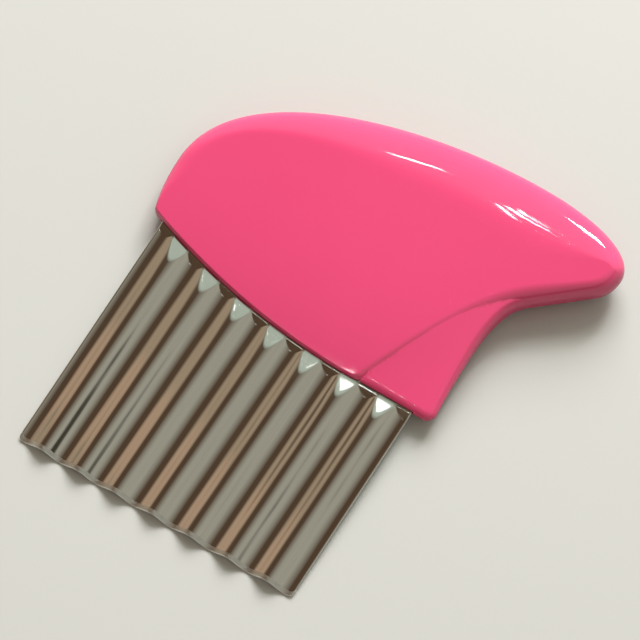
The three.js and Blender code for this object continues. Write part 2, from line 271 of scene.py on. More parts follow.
# Polishing lines, drawn coarser than real ones so that they show
POLISH_LINE = 0.5 * MM
POLISH_LENGTH = 45 * MM
POLISH_DEPTH = 0.004 * MM
POLISH_SHADE = 0.9
POLISH_ROUGHNESS = (0.05, 0.1)
# Shallow dents left by the press
DENT_WIDTH = 7 * MM
DENT_LENGTH = 26 * MM
DENT_DEPTH = 0.12 * MM


# Stainless sheet, mirror polished along the waves: sharp reflections, a little drawn out and dented
def polished_stainless(blade):
    """Material of the mirror-polished sheet."""
    made, tree, output = new_material("stainless_mirror_polished")
    place = add_node(tree, "ShaderNodeTexCoord").outputs["Object"]
    line_scale = (1 / POLISH_LINE, 1 / POLISH_LENGTH, 1 / POLISH_LINE)
    line_place = add_node(tree, "ShaderNodeMapping", {"Vector": place, "Scale": line_scale})
    lines = add_node(tree, "ShaderNodeTexNoise", {
        "Vector": line_place.outputs["Vector"], "Scale": 1.0, "Detail": 2.0,
    })
    dent_scale = (1 / DENT_WIDTH, 1 / DENT_LENGTH, 1 / DENT_WIDTH)
    dent_place = add_node(tree, "ShaderNodeMapping", {"Vector": place, "Scale": dent_scale})
    dents = add_node(tree, "ShaderNodeTexNoise", {
        "Vector": dent_place.outputs["Vector"], "Scale": 1.0, "Detail": 1.0,
    })
    tone = add_node(tree, "ShaderNodeMix", {
        "Factor": lines.outputs["Fac"],
        "A": (*[c * POLISH_SHADE for c in blade.steel], 1), "B": (*blade.steel, 1),
    }, data_type="RGBA")
    rough = add_node(tree, "ShaderNodeMapRange", {
        "Value": lines.outputs["Fac"], "To Min": POLISH_ROUGHNESS[0], "To Max": POLISH_ROUGHNESS[1],
    })
    dented = add_node(tree, "ShaderNodeBump", {
        "Height": dents.outputs["Fac"], "Strength": 1.0, "Distance": DENT_DEPTH,
    })
    lined = add_node(tree, "ShaderNodeBump", {
        "Height": lines.outputs["Fac"], "Normal": dented.outputs["Normal"],
        "Strength": 1.0, "Distance": POLISH_DEPTH,
    })
    shader = add_node(tree, "ShaderNodeBsdfPrincipled", {
        "Base Color": tone.outputs["Result"], "Metallic": 1.0,
        "Roughness": rough.outputs["Result"], "Normal": lined.outputs["Normal"],
    })
    tree.links.new(shader.outputs["BSDF"], output.inputs["Surface"])
    return made


# Grinding lines, drawn coarser than real ones so that they show
GRIND_LINE = 0.1 * MM
GRIND_LENGTH = 4 * MM
GRIND_DEPTH = 0.03 * MM
GRIND_SHADE = 0.85
GRIND_ROUGHNESS = (0.26, 0.4)


# Stainless bevel, ground on a fine wheel: a satin band with short lines square to the edge
def ground_stainless(blade):
    """Material of the ground bevel at the cutting edge."""
    made, tree, output = new_material("stainless_wheel_ground")
    place = add_node(tree, "ShaderNodeTexCoord").outputs["Object"]
    scale = (1 / GRIND_LINE, 1 / GRIND_LENGTH, 1 / GRIND_LENGTH)
    turned = add_node(tree, "ShaderNodeMapping", {"Vector": place, "Scale": scale})
    lines = add_node(tree, "ShaderNodeTexNoise", {
        "Vector": turned.outputs["Vector"], "Scale": 1.0, "Detail": 3.0,
    })
    tone = add_node(tree, "ShaderNodeMix", {
        "Factor": lines.outputs["Fac"],
        "A": (*[c * GRIND_SHADE for c in blade.ground], 1), "B": (*blade.ground, 1),
    }, data_type="RGBA")
    rough = add_node(tree, "ShaderNodeMapRange", {
        "Value": lines.outputs["Fac"], "To Min": GRIND_ROUGHNESS[0], "To Max": GRIND_ROUGHNESS[1],
    })
    cut = add_node(tree, "ShaderNodeBump", {
        "Height": lines.outputs["Fac"], "Strength": 1.0, "Distance": GRIND_DEPTH,
    })
    shader = add_node(tree, "ShaderNodeBsdfPrincipled", {
        "Base Color": tone.outputs["Result"], "Metallic": 1.0,
        "Roughness": rough.outputs["Result"], "Normal": cut.outputs["Normal"],
    })
    tree.links.new(shader.outputs["BSDF"], output.inputs["Surface"])
    return made


# Faint orange peel of the gloss, and drift of tone where the melt flowed
PEEL_WIDTH = 2.2 * MM
PEEL_DEPTH = 0.0015 * MM
FLOW_WIDTH = 24 * MM
GLOSS_ROUGHNESS = (0.03, 0.05)
ABS_IOR = 1.53


# ABS moulded in a polished tool: an even, saturated colour under a clear gloss that ripples faintly
def moulded_abs(handle):
    """Material of the glossy pink shells."""
    made, tree, output = new_material("abs_gloss_moulded_pink")
    place = add_node(tree, "ShaderNodeTexCoord").outputs["Object"]
    flow = add_node(tree, "ShaderNodeTexNoise", {
        "Vector": place, "Scale": 1 / FLOW_WIDTH, "Detail": 2.0,
    })
    peel = add_node(tree, "ShaderNodeTexNoise", {
        "Vector": place, "Scale": 1 / PEEL_WIDTH, "Detail": 1.0,
    })
    tone = add_node(tree, "ShaderNodeMix", {
        "Factor": flow.outputs["Fac"], "A": (*handle.pink_deep, 1), "B": (*handle.pink, 1),
    }, data_type="RGBA")
    rough = add_node(tree, "ShaderNodeMapRange", {
        "Value": flow.outputs["Fac"], "To Min": GLOSS_ROUGHNESS[0], "To Max": GLOSS_ROUGHNESS[1],
    })
    skin = add_node(tree, "ShaderNodeBump", {
        "Height": peel.outputs["Fac"], "Strength": 1.0, "Distance": PEEL_DEPTH,
    })
    shader = add_node(tree, "ShaderNodeBsdfPrincipled", {
        "Base Color": tone.outputs["Result"], "Roughness": rough.outputs["Result"],
        "Normal": skin.outputs["Normal"], "IOR": ABS_IOR,
    })
    tree.links.new(shader.outputs["BSDF"], output.inputs["Surface"])
    return made


def new_object(bm, name):
    """Object made from a bmesh, in the scene."""
    mesh = bpy.data.meshes.new(name)
    bm.to_mesh(mesh)
    bm.free()
    made = bpy.data.objects.new(name, mesh)
    bpy.context.scene.collection.objects.link(made)
    return made


def volume(mesh):
    """Volume that a mesh encloses."""
    bm = bmesh.new()
    bm.from_mesh(mesh)
    held = bm.calc_volume(signed=True)
    bm.free()
    return held


def carve(target, tool, operation):
    """Joins a tool to the target, or cuts the target with it, and uses the tool up."""
    modifier = target.modifiers.new("carve", "BOOLEAN")
    modifier.operation = operation
    modifier.solver = "EXACT"
    modifier.object = tool
    graph = bpy.context.evaluated_depsgraph_get()
    carved = bpy.data.meshes.new_from_object(target.evaluated_get(graph))
    before, after = volume(target.data), volume(carved)
    if after <= 0 or (after > before) != (operation == "UNION"):
        raise RuntimeError(f"{operation} of {target.name} and {tool.name} failed")
    spent = [target.data, tool.data]
    target.modifiers.clear()
    target.data = carved
    bpy.data.objects.remove(tool)
    for mesh in spent:
        bpy.data.meshes.remove(mesh)


def dress(piece, node, sharp):
    """Places a finished piece in the frame, smooths its shading and ties it to its body."""
    piece.data.transform(blade_plane())
    piece.data.shade_smooth()
    if sharp:
        piece.data.set_sharp_from_angle(angle=sharp)
    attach(piece, BODY)
    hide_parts(node)


def round_bar(centre, radius, low, high):
    """Round bar across the blade's plane, from one height to another."""
    bm = bmesh.new()
    bmesh.ops.create_cone(
        bm, cap_ends=True, segments=ROUND_SIDES, radius1=radius, radius2=radius, depth=high - low,
        matrix=Matrix.Translation((centre.x, centre.y, (low + high) / 2)),
    )
    return new_object(bm, "bar")


def block(low, high):
    """Block between two corners."""
    bm = bmesh.new()
    low, high = Vector(low), Vector(high)
    size = Matrix.Diagonal((high - low).to_4d())
    bmesh.ops.create_cube(bm, size=1, matrix=Matrix.Translation((low + high) / 2) @ size)
    return new_object(bm, "block")


def peg_places(blade, handle):
    """Middles of the pegs on the blade's plane."""
    first = blade_width(blade) / 2 - (handle.pegs - 1) / 2 * handle.peg_spacing
    height = blade.height + handle.peg_height
    return [Vector((first + i * handle.peg_spacing, height)) for i in range(handle.pegs)]


# Length that reaches right through the tool in any direction
FAR = 400 * MM

# Blade


# How steep the press left each flank, from the left to the right, at the cutting edge and at the lip
FLANK_AT_EDGE = [1, 0.97, 1.13, 0.97, 1.08, 0.97, 0.98, 0.97, 0.98, 0.97, 0.98, 1, 1.07, 1.04, 0.98, 1.1]
FLANK_AT_LIP = [1, 0.97, 0.98, 0.97, 0.95, 0.97, 0.98, 1.02, 0.98, 1.06, 0.98, 1.11, 0.95, 1.12, 0.98, 1.1]


def steepness(x, y, blade):
    """How steep the waves are at a place, blended from flank to flank and from edge to lip."""
    up = min(max(y / blade.height, 0), 1)
    flanks = [low + (high - low) * up for low, high in zip(FLANK_AT_EDGE, FLANK_AT_LIP)]
    along = (x - blade.margin) / (blade.pitch / 2) + 0.5
    before = min(max(math.floor(along), 0), len(flanks) - 2)
    blend = ease(min(max(along - before, 0), 1))
    return flanks[before] + (flanks[before + 1] - flanks[before]) * blend


def wave_height(x, y, blade):
    """Height of the sheet's middle: rounded waves that lean a little to the left at the edge."""
    half = blade_width(blade) / 2
    lean = blade.lean * max(0, 1 - y / blade.height) * (1 - ((x - half) / half) ** 2)
    turn = 2 * math.pi * (x - blade.margin + lean) / blade.pitch
    wave = blade.sharpness * math.cos(2 * turn) - math.cos(turn)
    return blade.depth / 2 * wave * steepness(x, y, blade)


# Places in from the sheet's side where its rounded rim is drawn
RIM_PLACES = [0.02 * MM, 0.06 * MM, 0.12 * MM, 0.2 * MM, 0.3 * MM]
LEAST_COLUMN = 0.03 * MM


def sheet_columns(blade):
    """Places across the sheet, close together at the bends and at the two rims."""
    width = blade_width(blade)
    places = [0, width]
    for rim in RIM_PLACES:
        places += [rim, width - rim]
    steps = range(-WAVE_STEPS, (blade.waves + 1) * WAVE_STEPS)
    places += [blade.margin + blade.pitch * i / WAVE_STEPS for i in steps]
    inside = sorted(x for x in places if 0 <= x <= width)
    kept = [0]
    for x in inside:
        if x - kept[-1] > LEAST_COLUMN:
            kept.append(x)
    kept[-1] = width
    return kept


def corner_cut(from_side, radius):
    """How far a rounded corner falls short of its edge, this far from the side."""
    into = max(0, radius - from_side)
    return radius - math.sqrt(radius ** 2 - into ** 2)


# Rounding of the pressed creases: softness along the wave, and sharpness of the blend
CREASE_SOFT = 0.6 * MM
CREASE_SOFT_SHARE = 0.4
CREASE_SHARPNESS = 7
RUNOUT_SOFT = 0.15 * MM
LEAST_RUNOUT = 0.9 * MM
LEAST_WAVE = 1e-6 * MM
RIM_LEAST = 0.3
EDGE_INSET = 0.01 * MM
ROW_STEPS = [BEVEL_STEPS, BODY_STEPS, CREASE_STEPS, FACET_STEPS, CREASE_STEPS, TANG_STEPS]


def runout_length(wave, blade):
    """Length of the facet that ends a crest or a valley at its middle."""
    return blade.runout if wave > 0 else blade.valley_runout


def pressed_height(x, y, end, blade):
    """Height of the sheet's middle where the wave meets the sloping facet that ends it."""
    wave = wave_height(x, y, blade)
    slope = blade.depth / 2 / runout_length(wave, blade) * (end - y)
    ramp = (slope + math.sqrt(slope ** 2 + RUNOUT_SOFT ** 2)) / 2
    size = abs(wave)
    if size < LEAST_WAVE:
        return 0
    least = size * ramp / (size ** CREASE_SHARPNESS + ramp ** CREASE_SHARPNESS) ** (1 / CREASE_SHARPNESS)
    return math.copysign(least, wave)


def sheet_column(x, blade, handle):
    """Places up one column of the sheet's middle, from the cutting edge to the top of the tang."""
    from_side = min(x, blade_width(blade) - x)
    low = EDGE_INSET + corner_cut(from_side, blade.corner)
    end = lip_height(x, blade, handle) - blade.clear
    top = blade.height + blade.tang - corner_cut(from_side, blade.tang_corner)
    wave = wave_height(x, end, blade)
    facet = max(abs(wave) / (blade.depth / 2) * runout_length(wave, blade), LEAST_RUNOUT)
    soft = min(CREASE_SOFT, facet * CREASE_SOFT_SHARE)
    stops = [
        low, low + blade.bevel, end - facet - soft, end - facet + soft, end - soft, end + soft, top,
    ]
    rows = [low]
    for steps, first, last in zip(ROW_STEPS, stops, stops[1:]):
        rows += [first + (last - first) * i / steps for i in range(1, steps + 1)]
    return [Vector((x, y, pressed_height(x, y, end, blade))) for y in rows]


def sheet_thickness(row, x, blade):
    """Thickness of the sheet: thinned by grinding at the edge, rounded off at its two sides."""
    from_side = min(x, blade_width(blade) - x)
    into = max(0, 1 - from_side / RIM_PLACES[-1])
    rim = max(math.sqrt(1 - into ** 2), RIM_LEAST)
    ground = min(row / BEVEL_STEPS, 1)
    return (blade.edge + (blade.thickness - blade.edge) * ground) * rim


class CUTTER_OT_blade(bpy.types.Operator):
    """Makes the pressed, ground and drilled blade"""

    bl_idname = "cutter.blade"
    bl_label = "Blade"

    def execute(self, context):
        blade, handle = context.scene.cutter_blade, context.scene.cutter_handle
        columns = sheet_columns(blade)
        places = [sheet_column(x, blade, handle) for x in columns]
        last_column, last_row = len(columns) - 1, len(places[0]) - 1

        bm = bmesh.new()
        column_of = bm.verts.layers.int.new("column")
        row_of = bm.verts.layers.int.new("row")
        bmesh.ops.create_grid(bm, x_segments=last_column, y_segments=last_row, size=0.5)
        for vert in bm.verts:
            vert[column_of] = round((vert.co.x + 0.5) * last_column)
            vert[row_of] = round((vert.co.y + 0.5) * last_row)
            vert.co = places[vert[column_of]][vert[row_of]]
        bm.normal_update()
        normals = {(v[column_of], v[row_of]): v.normal.copy() for v in bm.verts}

        back = bm.faces[:]
        raised = bmesh.ops.extrude_face_region(bm, geom=back, use_keep_orig=True)["geom"]
        front = {v for v in raised if isinstance(v, bmesh.types.BMVert)}
        for vert in bm.verts:
            spot = (vert[column_of], vert[row_of])
            half = sheet_thickness(spot[1], columns[spot[0]], blade) / 2
            vert.co += normals[spot] * (half if vert in front else -half)
        bmesh.ops.recalc_face_normals(bm, faces=bm.faces[:])

        for face in bm.faces:
            face.material_index = int(all(v[row_of] <= BEVEL_STEPS for v in face.verts))
        for edge in bm.edges:
            edge.smooth = any(v[row_of] != BEVEL_STEPS for v in edge.verts)
        piece = new_object(bm, "blade_sheet")
        piece.data.materials.append(polished_stainless(blade))
        piece.data.materials.append(ground_stainless(blade))
        for place in peg_places(blade, handle):
            carve(piece, round_bar(place, handle.peg_radius + handle.clearance, -FAR, FAR), "DIFFERENCE")
        dress(piece, "blade", 0)
        return {"FINISHED"}


# Handle shells

LIP_STEPS = 60
CREASE_CURVE_STEPS = 50
UNDER_STEPS = 20
NOSE_STEPS = 28
TIP_STEPS = 50
BACK_STEPS = 90
END_STEPS = 14
CORNER_STEPS = 6
NECK_STEPS = 16
# Share of the lip and of the rounded end that their shared corner's small radius takes up
LIP_CORNER = 0.018
END_CORNER = 0.93
# Lead of a curve that follows a quarter of a circle, as a share of the radius
ARC_LEAD = 0.5523
# Ring of the face beside the roll, and cells of the domed face each way
FACE_RING = 0.2 * MM
DOME_CELLS = 30
LEAST_CUT = 0.001 * MM
SEAM_CHAMFER = 0.06 * MM


def stretch(controls, steps, rolls, first=0, last=1):
    """Points along a curve, each with the roll of the edge there, without the last one."""
    shares = [i / steps for i in range(steps)]
    return [
        (on_curve(controls, first + (last - first) * t), rolls[0] + (rolls[1] - rolls[0]) * ease(t))
        for t in shares
    ]


def handle_points(blade, handle):
    """Named corners of the handle's outline on the blade's plane."""
    width = blade_width(blade)
    bend = lip_bend(blade, handle)
    under = math.tan(handle.fin_under)
    throat = Vector((width + handle.throat_reach, blade.height + handle.throat_height))
    tip_x = width + handle.fin_reach
    tip_y = throat.y + (tip_x - throat.x) * under + handle.nose_rise
    corner = Vector((-handle.overhang, lip_height(-handle.overhang, blade, handle)))
    return {
        "corner": corner,
        "bend": Vector((bend, blade.height)),
        "foot": Vector((bend + handle.crease_inset, blade.height)),
        "throat": throat,
        "nose": Vector((tip_x, tip_y - handle.nose_rise)),
        "tip": Vector((tip_x, tip_y)),
        "peak": Vector((width - handle.peak_inset, tip_y + handle.back_rise)),
        "end": corner + Vector((-handle.bulge, handle.bulge_height)),
    }


def crease_controls(handle, at):
    """Control points of the crease, from its foot at the lip to the throat."""
    reach = (at["throat"] - at["foot"]).length * handle.crease_full
    leave = Vector((math.cos(handle.crease_angle), math.sin(handle.crease_angle))) * reach
    arrive = Vector((math.cos(handle.fin_under), math.sin(handle.fin_under))) * reach
    return [at["foot"], at["foot"] + leave, at["throat"] - arrive, at["throat"]]


def grip_outline(blade, handle):
    """Outline of the grip and its fin, each point with the roll of its edge."""
    at = handle_points(blade, handle)
    corner, bend, foot, throat = at["corner"], at["bend"], at["foot"], at["throat"]
    nose, tip, peak, end = at["nose"], at["tip"], at["peak"], at["end"]
    lip = [corner, Vector(((corner.x + bend.x) / 2, bend.y)), bend]
    nose_start = nose - Vector((1, math.tan(handle.fin_under))) * handle.nose_run
    over_tip = [
        tip,
        Vector((tip.x, tip.y + (peak.y - tip.y) * handle.tip_full)),
        Vector((peak.x + (tip.x - peak.x) * handle.over_tip_full, peak.y)),
        peak,
    ]
    over_back = [
        peak,
        Vector((peak.x + (end.x - peak.x) * handle.back_full, peak.y)),
        Vector((end.x, end.y + (peak.y - end.y) * handle.end_full)),
        end,
    ]
    round_end = [end, Vector((end.x, corner.y + handle.end_lead)), corner]
    small_corner = [on_curve(round_end, END_CORNER), corner, on_curve(lip, LIP_CORNER)]
    return [
        *stretch(lip, LIP_STEPS, (handle.lip_roll, handle.lip_roll), first=LIP_CORNER),
        *stretch([bend, foot], CORNER_STEPS, (handle.lip_roll, handle.foot_roll)),
        *stretch(crease_controls(handle, at), CREASE_CURVE_STEPS, (handle.foot_roll, handle.under_roll)),
        *stretch([throat, nose_start], UNDER_STEPS, (handle.under_roll, handle.tip_roll)),
        *stretch([nose_start, nose, tip], NOSE_STEPS, (handle.tip_roll, handle.tip_roll)),
        *stretch(over_tip, TIP_STEPS, (handle.tip_roll, handle.back_roll)),
        *stretch(over_back, BACK_STEPS, (handle.back_roll, handle.end_roll)),
        *stretch(round_end, END_STEPS, (handle.end_roll, handle.lip_roll), last=END_CORNER),
        *stretch(small_corner, CORNER_STEPS, (handle.lip_roll, handle.lip_roll)),
    ]


def neck_outline(blade, handle):
    """Outline of the thin neck, which runs on under the grip."""
    at = handle_points(blade, handle)
    side = blade_width(blade) + handle.neck_overhang
    low = blade.height
    throat = at["throat"]
    lip_start = Vector((at["foot"].x - handle.overlap, low))
    lip_end = Vector((side - handle.neck_corner, low))
    side_foot = Vector((side, low + handle.neck_corner))
    corner = Vector((side, low))
    round_corner = [lip_end, lip_end.lerp(corner, ARC_LEAD), side_foot.lerp(corner, ARC_LEAD), side_foot]
    waist = Vector((side - handle.waist, low + handle.waist_height))
    under = Vector((waist.x, throat.y + (waist.x - throat.x) * math.tan(handle.fin_under)))
    inside = throat + Vector((-handle.overlap, handle.overlap))
    rolls = (handle.neck_roll, handle.neck_roll)
    crease = crease_controls(handle, at)
    inner = [(on_curve(crease, 1 - t), t) for t in (i / NECK_STEPS for i in range(NECK_STEPS))]
    return [
        *stretch([lip_start, lip_end], CORNER_STEPS, rolls),
        *stretch(round_corner, NECK_STEPS, rolls),
        *stretch([side_foot, Vector((waist.x, waist.y - handle.waist_height / 2)), waist], NECK_STEPS, rolls),
        *stretch([waist, under, throat], 2 * NECK_STEPS, rolls),
        *stretch([throat, inside], 1, rolls),
        *((p + Vector((-1, 1 - t)) * handle.overlap, handle.neck_roll) for p, t in inner),
    ]


def inward_steps(spots):
    """For each point of an outline, the step that moves it one unit inward from both its sides."""
    steps = []
    for before, spot, after in zip(spots[-1:] + spots[:-1], spots, spots[1:] + spots[:1]):
        arrive, leave = (spot - before).normalized(), (after - spot).normalized()
        side = Vector((-arrive.y - leave.y, arrive.x + leave.x))
        steps.append(side * 2 / side.length_squared)
    return steps


def unfolded(outline, inset, least_roll):
    """Leaves out the points of small corners that would cross over when the outline shrinks."""
    while True:
        spots = [place for place, _ in outline]
        depths = [inset + max(roll - inset, least_roll) + FACE_RING for _, roll in outline]
        moved = [spot + step * d for spot, step, d in zip(spots, inward_steps(spots), depths)]
        pairs = zip(spots, spots[1:] + spots[:1], moved, moved[1:] + moved[:1])
        crossed = [(b - a).dot(inner_b - inner_a) <= 0 for a, b, inner_a, inner_b in pairs]
        if not any(crossed):
            return outline
        outline = [point for point, gone in zip(outline, crossed) if not gone]


def rolled_rings(outline, inset, least_roll, seam, height_at):
    """Rings of a loft whose edge rolls over from the seam to the top face."""
    outline = unfolded(outline, inset, least_roll)
    inward = inward_steps([place for place, _ in outline])

    def ring(turn, deeper=0.0, lift=0.0):
        made = []
        for (place, roll), inner in zip(outline, inward):
            edge_roll = max(roll - inset, least_roll)
            spot = place + inner * (inset + edge_roll * (1 - math.cos(turn)) + deeper)
            made.append(Vector((*spot, seam + lift + (height_at(spot) - seam) * math.sin(turn))))
        return made

    quarter = math.pi / 2
    first = [ring(0, deeper=SEAM_CHAMFER), ring(0, lift=SEAM_CHAMFER)]
    rolled = [ring(quarter * step / ROLL_STEPS) for step in range(1, ROLL_STEPS + 1)]
    return [*first, *rolled, ring(quarter, deeper=FACE_RING)]


def dome(bm, cap, height_at):
    """Cuts a top face into small cells and sets each to its height."""
    cells = [cap]
    corners = [v.co.xy for v in cap.verts]
    for axis in range(2):
        low, high = (pick(c[axis] for c in corners) for pick in (min, max))
        across = Vector((1 - axis, axis, 0))
        for i in range(1, DOME_CELLS):
            parts = {*cells, *(e for f in cells for e in f.edges), *(v for f in cells for v in f.verts)}
            level = across * (low + (high - low) * i / DOME_CELLS)
            cut = bmesh.ops.bisect_plane(
                bm, geom=list(parts), dist=LEAST_CUT, plane_co=level, plane_no=across,
            )
            cells = [f for f in cut["geom"] if isinstance(f, bmesh.types.BMFace)]
    for vert in {v for f in cells for v in f.verts}:
        vert.co.z = height_at(vert.co.xy)


def loft(rings, height_at=None):
    """Closed solid through rings of points: a circle pulled from ring to ring and capped."""
    bm = bmesh.new()
    spot_of = bm.verts.layers.int.new("spot")
    bmesh.ops.create_circle(bm, segments=len(rings[0]), radius=1)
    bm.verts.ensure_lookup_table()
    for i, vert in enumerate(bm.verts):
        vert[spot_of] = i
        vert.co = rings[0][i]
    edges = bm.edges[:]
    bmesh.ops.edgeloop_fill(bm, edges=edges)
    for places in rings[1:]:
        pulled = bmesh.ops.extrude_edge_only(bm, edges=edges)["geom"]
        verts = {v for v in pulled if isinstance(v, bmesh.types.BMVert)}
        for vert in verts:
            vert.co = places[vert[spot_of]]
        edges = [e for e in pulled if isinstance(e, bmesh.types.BMEdge) and verts.issuperset(e.verts)]
    cap = bmesh.ops.edgeloop_fill(bm, edges=edges)["faces"]
    if height_at:
        dome(bm, cap[0], height_at)
    bmesh.ops.triangulate(bm, faces=bm.faces[:])
    bmesh.ops.recalc_face_normals(bm, faces=bm.faces[:])
    return new_object(bm, "loft")


def lip_land(blade, handle):
    """Strip behind the lip that stays solid, as a tall prism."""
    at = handle_points(blade, handle)
    low = blade.height - FAR
    left = at["end"].x
    line = [at["bend"].x + (left - at["bend"].x) * i / LIP_STEPS for i in range(LIP_STEPS + 1)]
    upper = [Vector((x, lip_height(x, blade, handle) + handle.land)) for x in line]
    ring = [Vector((-FAR, low)), Vector((FAR, low)), Vector((FAR, upper[0].y)), *upper]
    ring.append(Vector((-FAR, upper[-1].y)))
    return loft([[p.to_3d() + Vector((0, 0, z)) for p in ring] for z in (-FAR, FAR)])


def shell_half(blade, handle):
    """Front half of the handle: rolled grip and thin neck, hollow behind the lip."""
    seam = handle.seam / 2
    grip = grip_outline(blade, handle)
    tang_top = blade.height + blade.tang + handle.clearance
    under_roof = blade.thickness + handle.clearance
    neck_side = blade_width(blade) + handle.neck_overhang - handle.waist

    def face(spot):
        up, aside = spot.y - blade.height, spot.x - FACE_MIDDLE.x
        near, far = math.tan(handle.face_slope), math.tan(handle.face_far)
        swell = handle.face_ease * (near - far) * (1 - math.exp(-up / handle.face_ease))
        return handle.lip_half + up * far + swell - aside ** 2 / (2 * handle.face_dome)

    def neck_face(spot):
        up, in_from_side = spot.y - blade.height, neck_side - spot.x
        return handle.neck_half + up * (math.tan(handle.neck_slope) + in_from_side / handle.neck_twist)

    def roof(spot):
        return max(face(spot) - handle.wall, under_roof)

    half = loft(rolled_rings(grip, 0, 0, seam, face), face)
    neck = rolled_rings(neck_outline(blade, handle), 0, 0, seam, neck_face)
    carve(half, loft(neck, neck_face), "UNION")

    hollow = loft(rolled_rings(grip, handle.wall, handle.lip_roll, 0, roof), roof)
    carve(hollow, lip_land(blade, handle), "DIFFERENCE")
    rib = handle.rib / 2
    for place in peg_places(blade, handle):
        carve(hollow, block((place.x - rib, -FAR, -FAR), (place.x + rib, FAR, FAR)), "DIFFERENCE")
        carve(hollow, round_bar(place, handle.peg_radius + handle.boss_wall, -FAR, FAR), "DIFFERENCE")
    carve(hollow, block((-FAR, tang_top, -FAR), (FAR, tang_top + handle.rib, FAR)), "DIFFERENCE")
    carve(half, hollow, "DIFFERENCE")

    slot_top = blade.thickness / 2 + handle.clearance
    right = blade_width(blade) + handle.clearance
    carve(half, block((-handle.clearance, 0, -FAR), (right, tang_top, slot_top)), "DIFFERENCE")
    return half


def turned_over(half):
    """Mirror image of a shell on the other side of the blade's plane."""
    bm = bmesh.new()
    bm.from_mesh(half.data)
    bmesh.ops.scale(bm, vec=(1, 1, -1), verts=bm.verts)
    bmesh.ops.reverse_faces(bm, faces=bm.faces)
    return new_object(bm, "shell_rear")


SHELL_SHARP = math.radians(32)


class CUTTER_OT_shells(bpy.types.Operator):
    """Makes the two moulded shells of the handle, with pegs in one and sockets in the other"""

    bl_idname = "cutter.shells"
    bl_label = "Handle shells"

    def execute(self, context):
        blade, handle = context.scene.cutter_blade, context.scene.cutter_handle
        front = shell_half(blade, handle)
        front.name = front.data.name = "shell_front"
        rear = turned_over(front)
        root = blade.thickness / 2 + handle.clearance + handle.seam
        depth = handle.peg_reach + handle.clearance
        for place in peg_places(blade, handle):
            carve(front, round_bar(place, handle.peg_radius, -handle.peg_reach, root), "UNION")
            socket = round_bar(place, handle.peg_radius + handle.clearance, -depth, handle.seam)
            carve(rear, socket, "DIFFERENCE")
        pink = moulded_abs(handle)
        for piece, node in ((front, "handle_front_shell"), (rear, "handle_rear_shell")):
            piece.data.materials.append(pink)
            dress(piece, node, SHELL_SHARP)
        return {"FINISHED"}


# Stage

FLOOR_SIZE = 3.0
SENSOR = 36


def floor_paper(stage):
    """Pale paper floor, which throws little light back up at the object."""
    made, tree, output = new_material("paper_pale_matt")
    path = add_node(tree, "ShaderNodeLightPath")
    seen = add_node(tree, "ShaderNodeMath", {
        0: path.outputs["Is Camera Ray"], 1: path.outputs["Is Glossy Ray"],
    }, operation="MAXIMUM")
    shown = add_node(tree, "ShaderNodeMath", {
        0: seen.outputs["Value"], 1: path.outputs["Is Transmission Ray"],
    }, operation="MAXIMUM")
    tone = add_node(tree, "ShaderNodeMix", {
        "Factor": shown.outputs["Value"],
        "A": (*stage.floor_bounce, 1), "B": (*stage.floor, 1),
    }, data_type="RGBA")
    shader = add_node(tree, "ShaderNodeBsdfPrincipled", {
        "Base Color": tone.outputs["Result"], "Roughness": 0.9, "Specular IOR Level": 0.1,
    })
    tree.links.new(shader.outputs["BSDF"], output.inputs["Surface"])
    return made


# Tones of the room from the left over the top to the right, at angles in degrees from straight up
ROOM_TONES = [
    (-77, "room_left"), (-74, "room"), (-72, "room"), (-68, "room_left"), (-60, "room_left"),
    (-43, "room"), (-14, "room"), (34, "room_right"), (45, "room_right"), (49, "room_gap"),
    (56, "room_gap"), (64, "room_right"),
]
# How far towards the grip the bright back starts and is full, and how high up the horizon ends
ROOM_BACK = (0.30, 0.48)
ROOM_HORIZON = (0.32, 0.1)


def studio_room(stage):
    """Soft fixed surroundings: dim overhead, paler walls round the sides, a pale horizon."""
    world = bpy.data.worlds.new("studio_room")
    world.use_nodes = True
    tree = world.node_tree
    tree.nodes.clear()
    way = add_node(tree, "ShaderNodeTexCoord").outputs["Generated"]
    parts = add_node(tree, "ShaderNodeSeparateXYZ", {"Vector": way}).outputs
    across = add_node(tree, "ShaderNodeMath", {0: parts["X"], 1: parts["Z"]}, operation="ARCTAN2")
    place = add_node(tree, "ShaderNodeMapRange", {
        "Value": across.outputs["Value"], "From Min": -math.pi / 2, "From Max": math.pi / 2,
    })
    walls = add_node(tree, "ShaderNodeValToRGB", {"Fac": place.outputs["Result"]})
    walls.color_ramp.interpolation = "LINEAR"
    stops = walls.color_ramp.elements
    for i, (degrees, tone) in enumerate(ROOM_TONES):
        stop = stops[i] if i < 2 else stops.new(1)
        stop.position = degrees / 180 + 0.5
        stop.color = (*getattr(stage, tone), 1)
    shown = walls.outputs["Color"]
    for height, (first, last), tint in (
        (parts["Y"], ROOM_BACK, stage.room_back),
        (parts["Z"], ROOM_HORIZON, stage.horizon),
    ):
        amount = add_node(tree, "ShaderNodeMapRange", {
            "Value": height, "From Min": first, "From Max": last,
        }, interpolation_type="SMOOTHSTEP")
        layer = add_node(tree, "ShaderNodeMix", {
            "Factor": amount.outputs["Result"], "A": shown, "B": (*tint, 1),
        }, data_type="RGBA")
        shown = layer.outputs["Result"]
    glow = add_node(tree, "ShaderNodeBackground", {"Color": shown})
    add_node(tree, "ShaderNodeOutputWorld", {"Surface": glow.outputs["Background"]})
    return world


